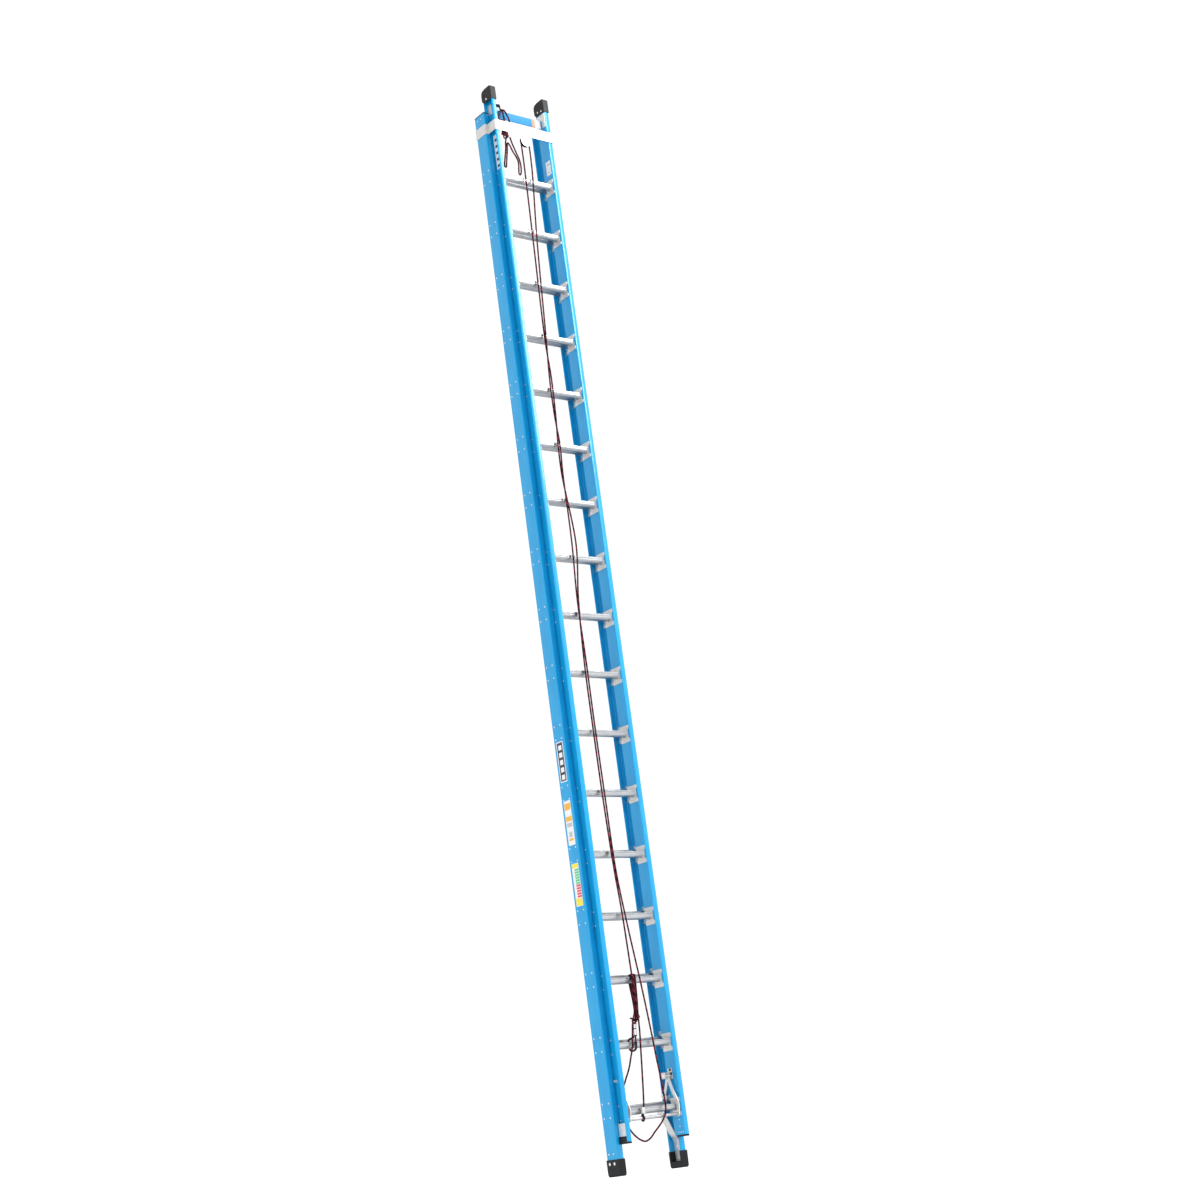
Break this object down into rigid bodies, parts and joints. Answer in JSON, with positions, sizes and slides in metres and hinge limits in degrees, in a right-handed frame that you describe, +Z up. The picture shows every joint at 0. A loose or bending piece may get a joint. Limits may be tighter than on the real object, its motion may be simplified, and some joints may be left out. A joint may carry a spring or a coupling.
{
  "type": "extension ladder",
  "caption": "Tall two-section extension ladder: channel rails, D rungs, sliding fly section, rung lock, head pulley and hauling rope.",
  "frame": {"origin": "centre of the ladder on the plane its two boots stand on", "axes": "+Z up the rails, -Y to the climber and the fly section, X across the rungs"},
  "size_m": [0.422, 0.159, 5.689],
  "materials": {
    "fibreglass": "glossy pultruded blue fibreglass",
    "aluminium": "extruded mill-finish aluminium",
    "rubber": "black moulded rubber",
    "plastic": "black moulded plastic",
    "webbing": "woven blue webbing",
    "rope": "braided maroon rope with dark flecks",
    "steel": "zinc plated steel"
  },
  "bodies": {
    "base": {"base_rung_01": "aluminium", "base_rung_02": "aluminium", "base_rung_03": "aluminium", "base_rung_04": "aluminium", "base_rung_05": "aluminium", "base_rung_06": "aluminium", "base_rung_07": "aluminium", "base_rung_08": "aluminium", "base_rung_09": "aluminium", "base_rung_10": "aluminium", "base_rung_11": "aluminium", "base_rung_12": "aluminium", "base_rung_13": "aluminium", "base_rung_14": "aluminium", "base_rung_15": "aluminium", "base_rung_16": "aluminium", "base_rung_17": "aluminium", "base_rail_left": "fibreglass", "base_boot_left": "rubber", "base_brace_left": "aluminium", "base_top_cap_left": "plastic", "base_rail_right": "fibreglass", "base_boot_right": "rubber", "base_brace_right": "aluminium", "base_top_cap_right": "plastic", "head_strap": "aluminium", "pulley_axle": "steel", "halyard_rope": "rope"},
    "fly": {"fly_rung_01": "aluminium", "fly_rung_02": "aluminium", "fly_rung_03": "aluminium", "fly_rung_04": "aluminium", "fly_rung_05": "aluminium", "fly_rung_06": "aluminium", "fly_rung_07": "aluminium", "fly_rung_08": "aluminium", "fly_rung_09": "aluminium", "fly_rung_10": "aluminium", "fly_rung_11": "aluminium", "fly_rung_12": "aluminium", "fly_rung_13": "aluminium", "fly_rung_14": "aluminium", "fly_rung_15": "aluminium", "fly_rung_16": "aluminium", "fly_rung_17": "aluminium", "fly_rail_left": "fibreglass", "fly_top_cap_left": "rubber", "fly_end_plug_left": "plastic", "lock_pivot_left": "steel", "fly_rail_right": "fibreglass", "fly_top_cap_right": "rubber", "fly_end_plug_right": "plastic", "lock_pivot_right": "steel", "pole_strap": "webbing", "tie_rope": "rope", "halyard_free_end": "rope"},
    "lock": {"lock_arm_left": "aluminium", "lock_arm_right": "aluminium", "lock_tie_bar": "aluminium"},
    "pulley": {"pulley_sheave": "plastic"}
  },
  "joints": [
    {"name": "fly_slide", "type": "slide", "parent": "base", "child": "fly", "axis": [0, 0, 1], "range_m": [0, 3.965], "deforming": ["halyard_rope"]},
    {"name": "lock_swing", "type": "hinge", "parent": "fly", "child": "lock", "pos_m": [0, -0.017, 0.43], "axis": [-1, 0, 0], "range_deg": [0, 35], "deforming": ["halyard_free_end"]},
    {"name": "pulley_spin", "type": "hinge", "parent": "base", "child": "pulley", "pos_m": [0.005, -0.066, 5.391], "axis": [0, 1, 0], "continuous": true}
  ],
  "couplings": [
    {"joint": "pulley_spin", "follows": "fly_slide", "rad_per_m": 40.816}
  ]
}
